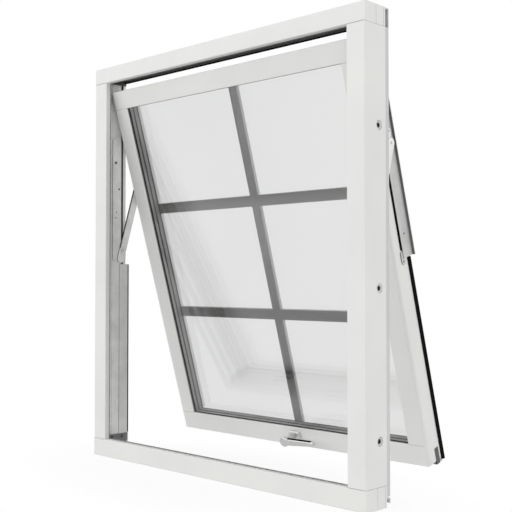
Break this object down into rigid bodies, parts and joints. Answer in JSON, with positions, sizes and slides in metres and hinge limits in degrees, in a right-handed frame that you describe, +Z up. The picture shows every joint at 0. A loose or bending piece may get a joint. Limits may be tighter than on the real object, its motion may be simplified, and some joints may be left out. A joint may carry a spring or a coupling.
{
  "type": "pivot window",
  "caption": "White timber window whose sash swings outward on two side arms while its head slides down the frame, shown part open.",
  "frame": {"origin": "middle of the underside of the frame sill", "axes": "+X to the right seen from the room, +Y outward through the wall, +Z up"},
  "size_m": [1.05, 0.4054, 1.2],
  "materials": {
    "painted_timber": "satin white paint on timber",
    "coated_aluminium": "white powder coat",
    "glass": "clear triple glazing",
    "black_rubber": "black weather seal",
    "grey_bars": "grey coated bars",
    "grey_spacer": "grey spacer profile",
    "satin_handle": "satin metal",
    "grey_plastic": "grey moulded plastic",
    "zinc_steel": "zinc plated steel",
    "mill_aluminium": "mill finish aluminium"
  },
  "bodies": {
    "frame": {"frame_head": "painted_timber", "frame_sill": "painted_timber", "jamb_left": "painted_timber", "jamb_right": "painted_timber", "track_left": "mill_aluminium", "track_right": "mill_aluminium", "hinge_plate_left": "zinc_steel", "hinge_plate_right": "zinc_steel", "lower_cover_left": "mill_aluminium", "lower_cover_right": "mill_aluminium", "jamb_cladding_left": "coated_aluminium", "jamb_cladding_right": "coated_aluminium", "head_cladding": "coated_aluminium", "head_liner": "mill_aluminium", "sill_cladding": "coated_aluminium", "frame_gasket": "black_rubber", "screw_sleeves": "grey_plastic", "lock_keeps": "zinc_steel"},
    "left_arm": {"arm_left": "zinc_steel"},
    "right_arm": {"arm_right": "zinc_steel"},
    "sash": {"sash_bottom_rail": "painted_timber", "sash_top_rail": "painted_timber", "sash_stile_left": "painted_timber", "sash_stile_right": "painted_timber", "stile_cladding_left": "coated_aluminium", "stile_cladding_right": "coated_aluminium", "bottom_cladding": "coated_aluminium", "top_cladding": "coated_aluminium", "glass_inner": "glass", "glass_middle": "glass", "glass_outer": "glass", "spacer_inner": "grey_spacer", "spacer_outer": "grey_spacer", "glazing_gasket": "black_rubber", "glazing_bars": "grey_bars", "sash_seal": "black_rubber", "sash_plate_left": "zinc_steel", "sash_plate_right": "zinc_steel", "top_slider_left": "grey_plastic", "top_slider_right": "grey_plastic", "upper_cover_left": "coated_aluminium", "upper_cover_right": "coated_aluminium", "corner_clips": "mill_aluminium", "handle_base": "satin_handle"},
    "handle": {"handle_lever": "satin_handle"}
  },
  "joints": [
    {"name": "left_arm_pivot", "type": "hinge", "parent": "frame", "child": "left_arm", "pos_m": [-0.49, 0.032, 0.635], "axis": [-1, 0, 0], "range_deg": [-16.3, 70.7]},
    {"name": "right_arm_pivot", "type": "hinge", "parent": "frame", "child": "right_arm", "pos_m": [0.49, 0.032, 0.635], "axis": [-1, 0, 0], "range_deg": [-16.3, 70.7]},
    {"name": "sash_pivot", "type": "hinge", "parent": "left_arm", "child": "sash", "pos_m": [-0.49, 0.10441, 0.88263], "axis": [1, 0, 0], "range_deg": [-32.6, 141.4]},
    {"name": "handle_turn", "type": "hinge", "parent": "sash", "child": "handle", "pos_m": [0.018, 0.27297, 0.08175], "axis": [0, -0.9598, -0.2807], "range_deg": [0, 90]}
  ],
  "couplings": [
    {"joint": "left_arm_pivot", "follows": "sash_pivot", "ratio": 0.5},
    {"joint": "right_arm_pivot", "follows": "sash_pivot", "ratio": 0.5}
  ]
}
